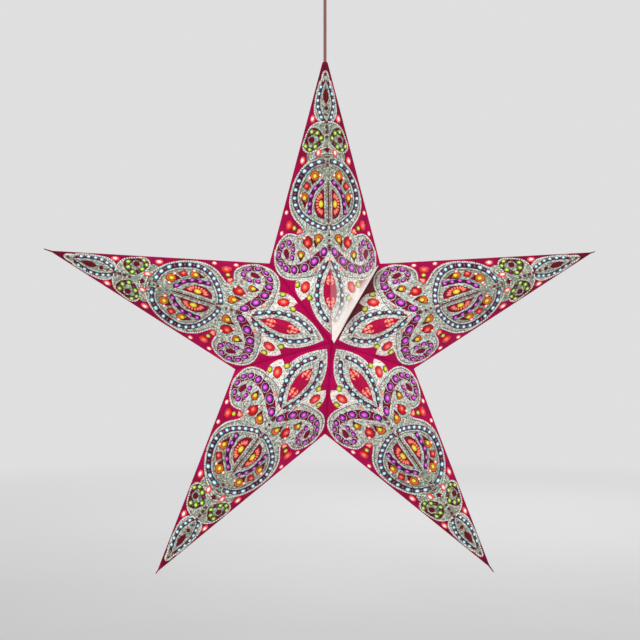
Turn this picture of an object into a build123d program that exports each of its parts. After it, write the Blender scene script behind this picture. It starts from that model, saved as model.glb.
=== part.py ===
from build123d import *
import os
from math import cos, radians, sin, sqrt

# Five-armed folded paper star lantern, with the lamp inside it and the cord and ceiling fitting it hangs from.
# Each arm is one sheet folded into four long facets, with glue tabs that reach behind the next arm.
# The star lies in the XZ plane with its front towards -Y. The origin is on the ceiling, midway between
# the bracket's two screw holes, and everything hangs below it. Millimetres, +Z up.

# Star, measured over the folds of the paper
arm_count = 5
tip_radius = 300.0  # middle of the star to the tip of an arm
notch_radius = 99.0  # middle of the star to the notch between two arms
star_depth = 200.0  # front point to back point
paper = 0.3  # thickness of the sheet
arm_names = ["top", "left", "lower_left", "lower_right", "right"]  # in order, against the clock from the front
tail_lengths = {"left": 6.0, "lower_left": 2.0, "lower_right": 6.0, "right": 2.5}  # pinched ends past the tips
tail_width = 1.8
tail_root = 6.0  # how far back into the tip a tail starts

# Glue tabs along the seams, folded in behind the next arm
tab_width = 12.0
tab_crease = 1.5  # strip of the tab that stays behind its own facet
tab_notch_gap = 6.0  # bare seam at the notch
tab_point_gap = 12.0  # bare seam at the front and back points

# Corner of the top arm that has come unglued and stands off the seam
flap_fold_reach = 45.0  # along the arm, from the front point to where the fold leaves the ridge
flap_notch_gap = 4.0  # seam that still lies down beside the notch
flap_edge_gap = 0.8  # set-back of the loose edge from the seam, at the notch end
flap_lift = 5.0  # how far the loose corner stands forward of the front point
flap_corner_right = 1.8  # loose corner, beside and below the front point
flap_corner_low = 0.5
flap_trim_left = 2.6  # other end of the trimmed corner, beside and above the front point
flap_trim_up = 2.5
flap_lap = 1.0  # paper shared by the flap and its facet at the fold

# Cord
cord_diameter = 3.2
cord_clearance = 0.15
hang_drop = 93.0  # cord between the ceiling cup and the paper tip

# Lampholder and bulb, on the cord's axis
holder_radius = 14.0
holder_wall = 1.6
holder_rim = 4.0  # straight part of the cap, which the paper rests on
holder_ledge = 1.2  # step from the rim in to the shoulder
holder_shoulder = 6.0  # height of the shoulder above the rim
holder_body_length = 28.0
boss_radius = 5.0
boss_height = 9.0
grip_height = 8.0
grip_collar = 3.0
grip_top_radius = 3.2
thread_gap = 0.2  # radial room between screwed or pushed-in pieces
core_flange = 2.5
core_depth = 12.0
core_wall = 1.4
socket_radius = 7.3  # inside of the screw shell
shell_wall = 0.7
shell_length = 22.0
shell_pocket = 7.0  # depth of the core's pocket for the screw shell
contact_radius = 3.0
contact_height = 2.0
terminal_screw_radius = 1.8
terminal_screw_height = 2.0
bulb_cap_gap = 0.4  # radial room between the bulb's cap and the screw shell
bulb_nub_radius = 2.4
bulb_nub = 2.0
bulb_cap_length = 19.0
bulb_collar_radius = 11.0
bulb_collar_length = 6.0
bulb_radius = 16.0
bulb_length = 78.0
bulb_edge = 4.0  # bevel of the tube's closed end
seat_gap = 0.3  # paper to lampholder where the star hangs on it

# Ceiling fitting
cup_radius = 36.0
cup_depth = 34.0
cup_wall = 1.2
bracket_length = 64.0
bracket_width = 16.0
bracket_sheet = 2.0
bracket_drop = 10.0  # ceiling to the underside of the dropped middle
bracket_middle = 26.0  # length of the dropped middle
bracket_slope = 6.0  # length of the sloping part on each side
screw_spacing = 50.0
screw_hole_diameter = 4.5
nipple_radius = 5.0
nipple_bore_radius = 3.2
nipple_top = 7.0  # ceiling to the nipple's top
nipple_below_cup = 6.0
nut_across_flats = 14.0
nut_height = 3.5
ceiling_grip_radius = 8.0
ceiling_grip_end_radius = 4.0
ceiling_grip_length = 18.0
ceiling_grip_collar = 7.0
grip_screw_radius = 1.5
block_length = 16.0
block_width = 10.0
block_height = 13.0
block_gap = 1.2  # terminal block to nipple
block_hole_diameter = 3.0
block_hole_pitch = 7.0

# Worked out from the sizes above
half_depth = star_depth / 2
arm_step = 360 / arm_count
notch_along = notch_radius * cos(radians(arm_step / 2))
notch_aside = notch_radius * sin(radians(arm_step / 2))
cord_radius = cord_diameter / 2
cord_bore = cord_radius + cord_clearance

# Outward normal of a facet in its arm's own axes: aside, front and along
normal_aside = half_depth * (tip_radius - notch_along)
normal_front = tip_radius * notch_aside
normal_along = half_depth * notch_aside
normal_size = sqrt(normal_aside**2 + normal_front**2 + normal_along**2)
normal_across = sqrt(normal_aside**2 + normal_front**2)


def distance_from_tip(radius):
    """How far back from the tip a rod of this radius just touches the four facets from inside."""
    return (radius * normal_across + paper * normal_size) / normal_along


tip_cut = distance_from_tip(cord_bore)  # paper trimmed off the top tip, to let the cord through
seat_depth = distance_from_tip(holder_radius + seat_gap)  # tip to the rim of the lampholder
tip_z = tip_cut - cup_depth - hang_drop
star_middle = Vector(0, 0, tip_z - tip_radius)
holder_z = tip_z - seat_depth - holder_rim  # joint between the lampholder's cap and its body

os.makedirs("parts", exist_ok=True)


# Folded arms
def arm_frame(bearing):
    """Plane across an arm at the star's middle: x aside, y to the front, z out along the arm."""
    outward = Vector(cos(radians(bearing)), 0, sin(radians(bearing)))
    aside = Vector(-sin(radians(bearing)), 0, cos(radians(bearing)))
    return Plane(origin=star_middle, x_dir=aside, z_dir=outward)


def facet_normal(frame, side, face):
    """Outward normal of one facet: side is 1 against the clock, face is 1 on the front."""
    aside = frame.x_dir * (side * normal_aside)
    front = frame.y_dir * (face * normal_front)
    along = frame.z_dir * normal_along
    return (aside + front + along).normalized()


def across_seam(frame, notch, run):
    """Direction in a facet, square to its seam, from the seam towards the arm's tip."""
    to_tip = frame.from_local_coords(Vector(0, 0, tip_radius)) - notch
    return (to_tip - run * to_tip.dot(run)).normalized()


def folded_block(frame, depth):
    """The arm's four-sided point as a solid, with every face set in by a depth."""
    tip = frame.from_local_coords(Vector(0, 0, tip_radius))
    with BuildPart() as block:
        with BuildSketch(frame.offset(-half_depth)):
            Rectangle(2 * tip_radius, 2 * tip_radius)
        extrude(amount=half_depth + tip_radius)
        for side in (-1, 1):
            for face in (-1, 1):
                facet = Plane(origin=tip, z_dir=facet_normal(frame, side, face))
                split(bisect_by=facet.offset(-depth), keep=Keep.BOTTOM)
    return block.part


def glue_tab(bearing):
    """Front glue tab: a creased strip along the seam, most of it behind the next arm's facet."""
    own = arm_frame(bearing)
    beside = arm_frame(bearing + arm_step)
    notch = own.from_local_coords(Vector(notch_aside, 0, notch_along))
    point = own.from_local_coords(Vector(0, half_depth, 0))
    seam = point - notch
    run = seam.normalized()
    own_out = facet_normal(own, 1, 1)
    beside_out = facet_normal(beside, -1, 1)
    own_across = across_seam(own, notch, run)
    beside_across = across_seam(beside, notch, run)
    inward = -(own_out + beside_out).normalized()
    crease = inward * (paper / -inward.dot(own_out))
    corners = [
        own_across * tab_crease - own_out * paper,
        own_across * tab_crease - own_out * (2 * paper),
        crease * 2,
        beside_across * tab_width - beside_out * (2 * paper),
        beside_across * tab_width - beside_out * paper,
        crease,
    ]
    start = notch + run * tab_notch_gap
    end = point - run * tab_point_gap
    section = Plane(origin=start, x_dir=own_across, z_dir=run)
    with BuildPart() as tab:
        with BuildSketch(section):
            with BuildLine():
                Polyline([(c.dot(section.x_dir), c.dot(section.y_dir)) for c in corners], close=True)
            make_face()
        extrude(amount=(end - start).length)
        split(bisect_by=Plane(origin=start, z_dir=beside_across - run), keep=Keep.BOTTOM)
        split(bisect_by=Plane(origin=end, z_dir=beside_across + run), keep=Keep.BOTTOM)
    return tab.part


def folded_shell(bearing):
    """The four facets of one arm, cut at the two seam planes."""
    frame = arm_frame(bearing)
    outside = folded_block(frame, 0)
    inside = folded_block(frame, paper)
    with BuildPart() as shell:
        add(outside)
        add(inside, mode=Mode.SUBTRACT)
        for side in (-1, 1):
            turn = radians(bearing + side * (arm_step / 2 + 90))
            seam_plane = Plane(origin=star_middle, z_dir=(cos(turn), 0, sin(turn)))
            split(bisect_by=seam_plane, keep=Keep.BOTTOM)
    return shell.part


def tail(bearing, length):
    """Flat pinched end of the sheet, past the tip."""
    outward = arm_frame(bearing).z_dir
    half_root = tail_width / 2
    half_end = half_root / 2
    with BuildPart() as strip:
        with BuildSketch(Plane(origin=star_middle, x_dir=outward, z_dir=(0, -1, 0))):
            with BuildLine():
                Polyline(
                    (tip_radius - tail_root, -half_root),
                    (tip_radius + length, -half_end),
                    (tip_radius + length, half_end),
                    (tip_radius - tail_root, half_root),
                    close=True,
                )
            make_face()
        extrude(amount=paper, both=True)
    return strip.part


# Points of the loose corner on the top arm's right-hand front facet
top_frame = arm_frame(90)
front_point = top_frame.from_local_coords(Vector(0, half_depth, 0))
right_notch = top_frame.from_local_coords(Vector(-notch_aside, 0, notch_along))
right_out = facet_normal(top_frame, -1, 1)
right_run = (front_point - right_notch).normalized()
right_across = across_seam(top_frame, right_notch, right_run)
fold_height = half_depth * (1 - flap_fold_reach / tip_radius)
fold_start = top_frame.from_local_coords(Vector(0, fold_height, flap_fold_reach))
fold_end = right_notch + right_run * flap_notch_gap + right_across * flap_edge_gap
fold = fold_end - fold_start
loose_corner = front_point + Vector(flap_corner_right, -flap_lift, -flap_corner_low)
trim_corner = front_point + Vector(-flap_trim_left, -flap_lift, flap_trim_up)


right_facet = Plane(origin=fold_start, x_dir=fold, z_dir=right_out)


def loose_area():
    """The part of the flat facet that the loose corner leaves."""
    reach = 2 * fold.length
    with BuildPart() as area:
        with BuildSketch(right_facet.offset(flap_lift)):
            Rectangle(2 * reach, reach, align=(Align.CENTER, Align.MAX))
        extrude(amount=-flap_lift - tab_crease)
        split(bisect_by=Plane(origin=star_middle, z_dir=top_frame.x_dir), keep=Keep.BOTTOM)
    return area.part


def loose_flap():
    """The loose corner itself, bent forward along the fold."""
    lifted = Plane(origin=fold_start, x_dir=fold, z_dir=fold.cross(loose_corner - fold_start) * -1)
    corner = lifted.to_local_coords(loose_corner)
    trimmed = lifted.to_local_coords(trim_corner)
    with BuildPart() as flap:
        with BuildSketch(lifted):
            with BuildLine():
                Polyline(
                    (0, 0),
                    (trimmed.X, trimmed.Y),
                    (corner.X, corner.Y),
                    (fold.length, 0),
                    (fold.length - flap_lap, flap_lap),
                    (2 * flap_lap, flap_lap),
                    close=True,
                )
            make_face()
        extrude(amount=-paper)
        split(bisect_by=right_facet.offset(-paper), keep=Keep.TOP)
    return flap.part


for index, arm_name in enumerate(arm_names):
    bearing = 90 + index * arm_step
    tab = glue_tab(bearing)
    with BuildPart() as arm:
        add(folded_shell(bearing))
        add(tab)
        mirror(tab, about=Plane.XZ)
        if arm_name in tail_lengths:
            add(tail(bearing, tail_lengths[arm_name]))
        else:
            add(loose_area(), mode=Mode.SUBTRACT)
            add(loose_flap())
            split(bisect_by=arm_frame(bearing).offset(tip_radius - tip_cut), keep=Keep.BOTTOM)
    arm.part.label = "arm_" + arm_name
    export_step(arm.part, "parts/arm_" + arm_name + ".step")

# Lampholder, drawn as half sections from the joint between its cap and its body
holder_section = Plane(origin=(0, 0, holder_z), x_dir=(1, 0, 0), z_dir=(0, -1, 0))
body_inner_radius = holder_radius - holder_wall
shoulder_radius = holder_radius - holder_ledge
shoulder_inner_radius = shoulder_radius - holder_wall
shoulder_top = holder_rim + holder_shoulder
shoulder_inner_top = shoulder_top - holder_wall
boss_top = shoulder_top + boss_height
spigot_height = holder_rim - holder_wall
spigot_radius = shoulder_inner_radius - thread_gap
pocket_radius = socket_radius + shell_wall + thread_gap
barrel_radius = pocket_radius + core_wall
core_top = spigot_height + core_flange
core_end = spigot_height - core_depth
pocket_top = core_end + shell_pocket

with BuildPart() as holder_cap:
    with BuildSketch(holder_section):
        with BuildLine():
            Polyline(
                (shoulder_inner_radius, 0),
                (holder_radius, 0),
                (holder_radius, holder_rim),
                (shoulder_radius, holder_rim),
                (shoulder_radius, shoulder_top),
                (boss_radius, shoulder_top),
                (boss_radius, boss_top),
                (cord_bore, boss_top),
                (cord_bore, shoulder_inner_top),
                (shoulder_inner_radius, shoulder_inner_top),
                close=True,
            )
        make_face()
    revolve(axis=Axis.Z)
holder_cap.part.label = "holder_cap"
export_step(holder_cap.part, "parts/holder_cap.step")

with BuildPart() as holder_grip:
    with BuildSketch(holder_section):
        with BuildLine():
            Polyline(
                (cord_bore, boss_top),
                (boss_radius, boss_top),
                (boss_radius, boss_top + grip_collar),
                (grip_top_radius, boss_top + grip_collar),
                (grip_top_radius, boss_top + grip_height),
                (cord_bore, boss_top + grip_height),
                close=True,
            )
        make_face()
    revolve(axis=Axis.Z)
holder_grip.part.label = "holder_grip"
export_step(holder_grip.part, "parts/holder_grip.step")

with BuildPart() as holder_body:
    with BuildSketch(holder_section):
        with BuildLine():
            Polyline(
                (barrel_radius + thread_gap, spigot_height),
                (spigot_radius, spigot_height),
                (spigot_radius, 0),
                (holder_radius, 0),
                (holder_radius, -holder_body_length),
                (body_inner_radius, -holder_body_length),
                (body_inner_radius, -holder_rim),
                (barrel_radius + thread_gap, -holder_rim),
                close=True,
            )
        make_face()
    revolve(axis=Axis.Z)
holder_body.part.label = "holder_body"
export_step(holder_body.part, "parts/holder_body.step")

with BuildPart() as holder_core:
    with BuildSketch(holder_section):
        with BuildLine():
            Polyline(
                (0, core_top),
                (shoulder_inner_radius - thread_gap, core_top),
                (shoulder_inner_radius - thread_gap, spigot_height),
                (barrel_radius, spigot_height),
                (barrel_radius, core_end),
                (pocket_radius, core_end),
                (pocket_radius, pocket_top),
                (0, pocket_top),
                close=True,
            )
        make_face()
    revolve(axis=Axis.Z)
holder_core.part.label = "holder_core"
export_step(holder_core.part, "parts/holder_core.step")

with BuildPart() as screw_shell:
    with BuildSketch(Plane.XY.offset(holder_z + pocket_top)):
        Circle(socket_radius + shell_wall)
        Circle(socket_radius, mode=Mode.SUBTRACT)
    extrude(amount=-shell_length)
screw_shell.part.label = "screw_shell"
export_step(screw_shell.part, "parts/screw_shell.step")

with BuildPart() as centre_contact:
    with BuildSketch(Plane.XY.offset(holder_z + pocket_top)):
        Circle(contact_radius)
    extrude(amount=-contact_height)
centre_contact.part.label = "centre_contact"
export_step(centre_contact.part, "parts/centre_contact.step")

terminal_offset = (cord_radius + shoulder_inner_radius) / 2
with BuildPart() as terminal_screws:
    with BuildSketch(Plane.XY.offset(holder_z + core_top)):
        with Locations((-terminal_offset, 0), (terminal_offset, 0)):
            Circle(terminal_screw_radius)
    extrude(amount=terminal_screw_height)
terminal_screws.part.label = "terminal_screws"
export_step(terminal_screws.part, "parts/terminal_screws.step")

# Bulb, screwed up against the centre contact
bulb_top = pocket_top - contact_height
bulb_cap_radius = socket_radius - bulb_cap_gap
bulb_cap_top = bulb_top - bulb_nub
bulb_cap_end = bulb_cap_top - bulb_cap_length
bulb_collar_end = bulb_cap_end - bulb_collar_length
bulb_end = bulb_top - bulb_length

with BuildPart() as bulb:
    with BuildSketch(holder_section):
        with BuildLine():
            Polyline(
                (0, bulb_top),
                (bulb_nub_radius, bulb_top),
                (bulb_nub_radius, bulb_cap_top),
                (bulb_cap_radius, bulb_cap_top),
                (bulb_cap_radius, bulb_cap_end),
                (bulb_collar_radius, bulb_cap_end),
                (bulb_collar_radius, bulb_collar_end),
                (bulb_radius, bulb_collar_end),
                (bulb_radius, bulb_end),
                (0, bulb_end),
                close=True,
            )
        make_face()
    revolve(axis=Axis.Z)
    chamfer(bulb.faces().sort_by(Axis.Z)[0].edges(), length=bulb_edge)
bulb.part.label = "bulb"
export_step(bulb.part, "parts/bulb.step")

# Cord, pulled straight by the lantern's weight, from the lampholder's core up into the ceiling nipple
cord_low_z = holder_z + core_top
with BuildPart() as hanging_cord:
    with BuildSketch(Plane.XY.offset(cord_low_z)):
        Circle(cord_radius)
    extrude(amount=-nipple_top - cord_low_z)
hanging_cord.part.label = "hanging_cord"
export_step(hanging_cord.part, "parts/hanging_cord.step")

# Ceiling fitting
with BuildPart() as ceiling_cup:
    with BuildSketch(Plane.XY):
        Circle(cup_radius)
    extrude(amount=-cup_depth)
    offset(amount=-cup_wall, openings=ceiling_cup.faces().sort_by(Axis.Z)[-1])
    with BuildSketch(Plane.XY.offset(-cup_depth)):
        Circle(nipple_radius + thread_gap)
    extrude(amount=cup_wall, mode=Mode.SUBTRACT)
ceiling_cup.part.label = "ceiling_cup"
export_step(ceiling_cup.part, "parts/ceiling_cup.step")

with BuildPart() as ceiling_bracket:
    half_middle = bracket_middle / 2
    drop = bracket_drop - bracket_sheet
    with BuildSketch(Plane.XZ):
        with BuildLine():
            Polyline(
                (-bracket_length / 2, 0),
                (-half_middle - bracket_slope, 0),
                (-half_middle, -drop),
                (half_middle, -drop),
                (half_middle + bracket_slope, 0),
                (bracket_length / 2, 0),
            )
            offset(amount=bracket_sheet, side=Side.RIGHT, kind=Kind.INTERSECTION)
        make_face()
    extrude(amount=bracket_width / 2, both=True)
    with BuildSketch(Plane.XY):
        Circle(nipple_radius + thread_gap)
        with Locations((-screw_spacing / 2, 0), (screw_spacing / 2, 0)):
            Circle(screw_hole_diameter / 2)
    extrude(amount=-bracket_drop - bracket_sheet, mode=Mode.SUBTRACT)
ceiling_bracket.part.label = "ceiling_bracket"
export_step(ceiling_bracket.part, "parts/ceiling_bracket.step")

with BuildPart() as ceiling_nipple:
    with BuildSketch(Plane.XY.offset(-nipple_top)):
        Circle(nipple_radius)
        Circle(nipple_bore_radius, mode=Mode.SUBTRACT)
    extrude(amount=nipple_top - cup_depth - nipple_below_cup)
ceiling_nipple.part.label = "ceiling_nipple"
export_step(ceiling_nipple.part, "parts/ceiling_nipple.step")

with BuildPart() as nipple_nut:
    with BuildSketch(Plane.XY.offset(-bracket_drop)):
        RegularPolygon(nut_across_flats / 2, 6, major_radius=False)
        Circle(nipple_radius + thread_gap, mode=Mode.SUBTRACT)
    extrude(amount=-nut_height)
nipple_nut.part.label = "nipple_nut"
export_step(nipple_nut.part, "parts/nipple_nut.step")

# Cord grip under the cup, with the small screw that pinches the cord
grip_screw_z = -cup_depth - nipple_below_cup - (ceiling_grip_length - nipple_below_cup) / 3
screw_line = Plane(origin=(0, 0, grip_screw_z), x_dir=(1, 0, 0), z_dir=(0, 1, 0))
with BuildPart() as ceiling_cord_grip:
    with BuildSketch(Plane(origin=(0, 0, -cup_depth), x_dir=(1, 0, 0), z_dir=(0, -1, 0))):
        with BuildLine():
            Polyline(
                (nipple_radius + thread_gap, 0),
                (ceiling_grip_radius, 0),
                (ceiling_grip_radius, -ceiling_grip_collar),
                (ceiling_grip_end_radius, -ceiling_grip_collar),
                (ceiling_grip_end_radius, -ceiling_grip_length),
                (cord_bore, -ceiling_grip_length),
                (cord_bore, -nipple_below_cup),
                (nipple_radius + thread_gap, -nipple_below_cup),
                close=True,
            )
        make_face()
    revolve(axis=Axis.Z)
    with BuildSketch(screw_line):
        Circle(grip_screw_radius + thread_gap)
    extrude(amount=ceiling_grip_radius, mode=Mode.SUBTRACT)
ceiling_cord_grip.part.label = "ceiling_cord_grip"
export_step(ceiling_cord_grip.part, "parts/ceiling_cord_grip.step")

with BuildPart() as grip_screw:
    with BuildSketch(screw_line.offset(cord_bore)):
        Circle(grip_screw_radius)
    extrude(amount=ceiling_grip_end_radius - cord_radius)
grip_screw.part.label = "grip_screw"
export_step(grip_screw.part, "parts/grip_screw.step")

with BuildPart() as terminal_block:
    block_y = nipple_radius + block_gap + block_width / 2
    with BuildSketch(Plane(origin=(0, block_y, cup_wall - cup_depth))):
        Rectangle(block_length, block_width)
    extrude(amount=block_height)
    fillet(terminal_block.edges().filter_by(Axis.Z), radius=block_gap)
    with Locations(terminal_block.faces().sort_by(Axis.Z)[-1]):
        with GridLocations(block_hole_pitch, 0, 2, 1):
            Hole(block_hole_diameter / 2, depth=block_height / 2)
terminal_block.part.label = "terminal_block"
export_step(terminal_block.part, "parts/terminal_block.step")
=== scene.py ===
"""Paper star lantern: the printed and glittered ornament on the folded paper, the loose corner,
the cord, the finishes of the lamp and ceiling fitting, and a plain stage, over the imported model."""

import math

import bpy
from bpy.props import FloatProperty, FloatVectorProperty, PointerProperty
from mathutils import Matrix, Vector
from mathutils.geometry import interpolate_bezier


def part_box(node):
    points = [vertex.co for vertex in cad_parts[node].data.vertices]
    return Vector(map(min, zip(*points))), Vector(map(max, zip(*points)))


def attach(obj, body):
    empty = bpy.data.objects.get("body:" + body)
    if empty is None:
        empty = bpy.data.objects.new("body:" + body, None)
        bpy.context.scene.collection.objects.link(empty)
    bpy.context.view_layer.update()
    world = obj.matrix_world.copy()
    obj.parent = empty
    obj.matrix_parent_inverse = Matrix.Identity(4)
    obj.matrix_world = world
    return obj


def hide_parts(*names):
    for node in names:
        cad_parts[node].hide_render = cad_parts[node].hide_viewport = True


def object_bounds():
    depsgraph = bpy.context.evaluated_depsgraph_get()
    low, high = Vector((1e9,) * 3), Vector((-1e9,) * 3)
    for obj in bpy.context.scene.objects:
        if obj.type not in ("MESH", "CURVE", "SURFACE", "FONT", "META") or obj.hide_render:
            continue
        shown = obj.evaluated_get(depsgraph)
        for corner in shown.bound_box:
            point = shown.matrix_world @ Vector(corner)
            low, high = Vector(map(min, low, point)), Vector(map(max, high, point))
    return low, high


bl_info = {
    "name": "Paper star lantern",
    "version": (1, 0, 0),
    "blender": (4, 5, 0),
    "location": "3D View > Sidebar > Star lantern",
    "description": "Dresses the folded paper star lantern with its ornament, cord, finishes and stage",
    "category": "Object",
}

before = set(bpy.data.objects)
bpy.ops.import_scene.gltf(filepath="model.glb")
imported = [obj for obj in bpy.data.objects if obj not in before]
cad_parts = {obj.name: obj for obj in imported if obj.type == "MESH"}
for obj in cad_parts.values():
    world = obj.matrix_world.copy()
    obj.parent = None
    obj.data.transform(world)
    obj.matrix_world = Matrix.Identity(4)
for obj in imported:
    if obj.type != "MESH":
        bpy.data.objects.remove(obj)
CAD_LOW, CAD_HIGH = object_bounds()

MM = 0.001
IMAGE_PIXELS = 640
ROOM_TONE = (0.74, 0.74, 0.74)

# The five arms, against the clock from the front, by the direction in which each points
ARM_BEARINGS = {"top": 90.0, "left": 162.0, "lower_left": 234.0, "lower_right": 306.0, "right": 18.0}
HALF_STEP = math.radians(36.0)
NOTCH_RADIUS = 0.099
STAR_MIDDLE_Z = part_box("arm_right")[0].z + NOTCH_RADIUS * math.sin(HALF_STEP / 2)
STAR_MIDDLE = (0.0, 0.0, STAR_MIDDLE_Z)
HALF_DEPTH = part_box("arm_left")[1].y
CORD_TOP_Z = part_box("hanging_cord")[1].z
CORD_LOW_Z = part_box("hanging_cord")[0].z

# Heights of the printed layers above the paper, in millimetres: low and high face
LEAF = (0.01, 0.15)
GROUND = (0.02, 0.20)
UPPER_GROUND = (0.02, 0.23)
CHANNEL = (0.05, 0.28)
INLAY = (0.10, 0.36)
HEART = (0.15, 0.44)
LINE = (0.12, 0.42)
LINE_HALF_WIDTH = 0.55
LINE_INSET = 0.9
INNER_LINE_HALF_WIDTH = 0.8
RIDGE_EDGE_HALF_WIDTH = 0.5
# Bright lines stand this far off the medallion's small gems, and off the scrolls' crimson band
GEM_LINE_OFFSET = 3.0
SCROLL_LINE_GAP = 0.8
# Share of a step that a smooth outline's handles reach, and the points read in each step
HANDLE_SHARE = 0.39
POINTS_A_STEP = 9
# The cells are drawn this much smaller than their outlines, on a dark ground this much larger
CELL_INSET = 0.8
CELL_RIM = 0.8
# Silver rim round the drop's dark eye
EYE_RIM = 1.2
# Beads: foot above the paper, height, and sides of a bead and of a tiny one
GEM_FOOT = 0.1
GEM_HEIGHT = 0.9
GEM_SIDES = 8
TINY_SIDES = 6
# A bead's shape, one unit high: its upright rim, the steps of its dome in and up, and its peak
GEM_RIM = 0.35
GEM_STEPS = ((0.30, 0.40), (0.34, 0.22))
GEM_PEAK = 0.03
# Silver settings round the scrolls' gems: height, and how much wider they are
SETTING_HEIGHT = 0.42
SETTING_MARGIN = 1.9
# Tiny beads along the outlines
EDGE_BEAD_STEP = 2.5
EDGE_BEAD_SIZE = 1.5
EDGE_BEAD_HEIGHT = 0.5
# How far a layer leans over the ridge, for each millimetre of its height
RIDGE_MITRE = 0.77
# The ornament's places are as the eye sees them from the front, which spreads what stands nearer:
# the share taken back for each metre
PRINT_PULL = 0.45
# The print of the top arm sits a little lower than on the others
PRINT_STRETCH = {"top": 0.987}


def paint(red, green, blue):
    """A colour as the screen shows it, from 0 to 255, in linear light."""
    screen = (red / 255, green / 255, blue / 255)
    return tuple(c / 12.92 if c <= 0.04045 else ((c + 0.055) / 1.055) ** 2.4 for c in screen)


def corner(along, aside):
    """A sharp point of an outline; a plain pair is a smooth one."""
    return (along, aside, True)


# The ornament on half an arm's face, in millimetres: along the arm from the star's middle, and aside
# from the ridge
PETAL = [
    corner(8, 0), (15, 6.5), (24, 13), (34, 17.6), (45, 19.6), (56, 18), (66, 13.2), (77, 7.4),
    (86, 2.8), corner(92, 0),
]
PETAL_INLAY = [
    corner(25, 0), (30, 4.2), (37, 8.2), (46, 10), (55, 9.6), (63, 7.6), (71, 4.6), corner(79, 0),
]
PETAL_EYE = [corner(32, 0), (39, 3.8), (47, 6.2), (55, 6.2), (63, 4.8), (70, 2.2), corner(76, 0)]
PETAL_BEAD_PATH = [
    (21, 2.5), (24.6, 5.6), (30.6, 9), (38.8, 11.8), (48, 12.6), (58, 11.7), (68.4, 9.2), (77, 5.6),
    (84, 1.6),
]
SIDE_LEAF = [
    corner(42.5, 27.6), (48, 31.4), (56, 33.4), (63, 32), (66, 26), corner(74, 12), (64, 13.5),
    (54, 17.5), (47, 22),
]
SCROLL = [
    corner(93, 0), (80, 4), (70, 9), (65, 18.5), (63.9, 29), (63.6, 37.5), (66.4, 45.4), (72, 50.4),
    (80, 53), (90, 53), (99.5, 50.6), (107.5, 46), (112.4, 39.6), (112.2, 34), corner(110.6, 29.6),
    corner(113.6, 24.8), corner(115, 0),
]
SCROLL_GEM_PATH = [
    (97, 1.8), (93.5, 5.2), (84.2, 13.4), (77.2, 23.5), (75, 33.6), (76.4, 41.8), (82, 46.8),
    (91, 48.8), (99.6, 45.4), (102.8, 38.6), (96, 34.6), (87, 35.4), (83.5, 36.4),
]
# Half width of the crimson band at each of these points
SCROLL_GEM_WIDTHS = [2.6, 4.2, 4.8, 4.9, 4.5, 3.9, 3.3, 3.0, 3.0, 3.1, 2.5, 2.4, 2.0]
SCROLL_INNER_LINE = [
    (99, 6), (91, 14.6), (84, 23.6), (81.2, 31), (84.6, 32.4), (95, 31.4), (104, 33), (107.4, 37.6),
]
SCROLL_EYE_RING = [
    corner(82.8, 40.4), (86.4, 37.6), (92, 37.2), (97.6, 39.4), (97.4, 43.6), (92, 45), (86, 43.4),
]
SCROLL_EYE = [
    corner(84.8, 40.6), (88, 38.8), (92.4, 38.6), (96, 40.4), (95.6, 42.8), (91.6, 43.6),
    (87.4, 42.4),
]
MEDALLION = [
    corner(112.6, 0), corner(112.6, 24.6), (117.6, 25.6), (122.4, 29), (128, 33.2), (136, 36.5),
    (147, 37.6), (158, 35.6), (169, 32), (179, 26.6), (188, 19.2), (194, 11.5), (197, 5),
    corner(197.5, 0),
]
MEDALLION_BEAD_PATH = [
    (117.4, 0), (118, 5), (119.8, 9.8), (122.8, 15), (126.4, 20), (130.6, 24.6), (135.8, 28.4),
    (142.4, 31), (149.6, 31.9), (158.4, 30.7), (168, 27.4), (178, 21.8), (184.4, 15), (187.4, 7.6),
    (188.4, 0),
]
MEDALLION_GEM_PATH = [
    (168.6, 4.2), (165.4, 6.2), (159.8, 11.8), (151.6, 16), (143.2, 17.2), (135, 18), (131.8, 17.9),
]
SUNBURST = [
    corner(127.8, 4), (129.4, 8.6), (134, 11.6), (141.5, 12.6), (149.5, 10.8), (155, 7.4),
    corner(158.6, 4),
]
SUNBURST_HEART = (143, 5.6)
RIDGE_EDGE = [(126, 3), (144, 3.2), (165, 2.6)]
RIDGE_LINE = [corner(122, 0), corner(123.6, 0.4), corner(166, 0.4), corner(168, 0)]
AMBER_CELLS = [
    [corner(167.2, 12.6), (169.6, 8.6), (175.6, 8.2), (178.6, 11.2), (176.2, 15.6), (170, 16)],
    [corner(144.2, 21.4), (148, 19.4), (154.4, 19.8), (155, 24.8), (148.4, 25.6)],
    [corner(100.4, 12), (104, 7.4), (110, 6.2), (110.8, 13), (105.4, 14)],
    [corner(85.4, 26.8), (89, 23.8), (93.4, 24), (93.6, 29.6), (89.4, 30.2)],
]
# Dark pointed ends of the amber cells
CELL_TAILS = [
    [corner(163, 14.6), corner(169.4, 9.6), corner(170.4, 17.2)],
    [corner(138.8, 22.6), corner(149, 18.6), corner(149, 26)],
    [corner(96.8, 13.4), corner(104.4, 8.6), corner(105.4, 15)],
    [corner(82.6, 27.6), corner(89, 24), corner(89.6, 30.6)],
]
RED_CELLS = [
    [corner(156.8, 19.6), corner(162.6, 16), corner(168, 19.8), corner(161.8, 24.6)],
    [corner(95.2, 19.6), (102, 15.8), (109.2, 18.4), (108.8, 23), (102.4, 25.2)],
]
NECK = [
    corner(186, 0), corner(186.5, 17.5), (190, 19.4), (195.5, 19.2), (203, 13), (207, 6),
    corner(208, 0),
]
DROP = [
    corner(202, 0), (199.4, 8), (196.8, 16), (199, 22), (205.6, 23.7), (213, 21.7), (220, 19),
    (226, 15.2), (229.8, 9), corner(231, 0),
]
DROP_BEAD_RING = [
    (208, 5.6), (204.4, 10), (200.6, 15.4), (203.6, 20), (210, 20), (216.6, 17.4), (221.4, 13),
    (219, 8.4), (213.4, 5.2),
]
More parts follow.
